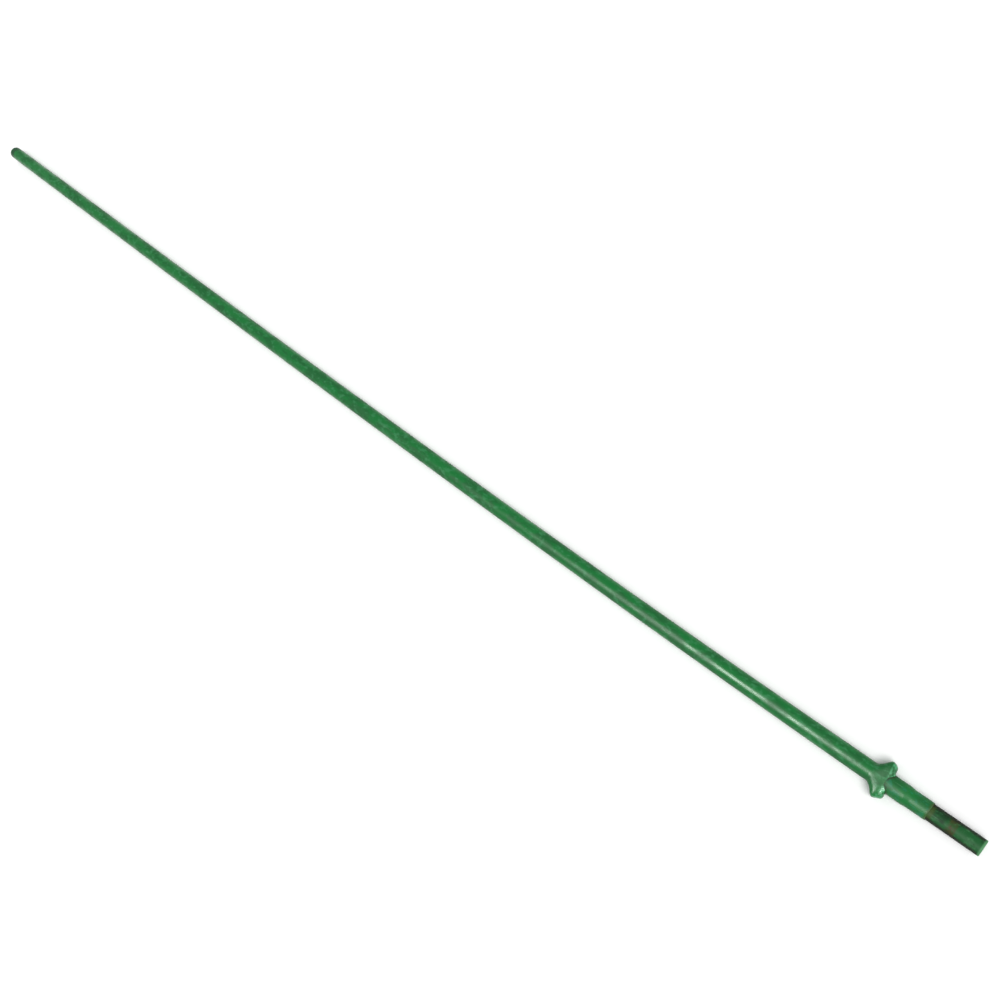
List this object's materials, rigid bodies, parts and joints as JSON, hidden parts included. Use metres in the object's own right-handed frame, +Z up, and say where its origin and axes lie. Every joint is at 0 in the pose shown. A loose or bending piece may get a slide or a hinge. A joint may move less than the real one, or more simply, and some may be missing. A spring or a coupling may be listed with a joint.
{
  "type": "lugged driving steel",
  "caption": "Long round steel for driving or drilling, with a two-lug collar that a machine's retainer holds and a stepped striking shank.",
  "frame": {"origin": "centre of the flat striking face at the end of the shank", "axes": "+X out of the striking face along the shank's axis, so the bar runs away along -X; the two lugs point along +Y and -Y; +Z up with the steel lying on a surface"},
  "size_m": [2.4, 0.0924, 0.0264],
  "materials": {
    "bar_paint": "semi-gloss green paint over round steel bar",
    "collar_paint": "semi-gloss green paint over a forged surface",
    "neck_paint": "semi-gloss green paint, thin at the step",
    "worn_shank_paint": "dull, dirty green paint with rust-brown bands"
  },
  "bodies": {
    "root": {"drive_bar": "bar_paint", "lug_collar": "collar_paint", "shank_neck": "neck_paint", "striking_shank": "worn_shank_paint"}
  },
  "joints": []
}
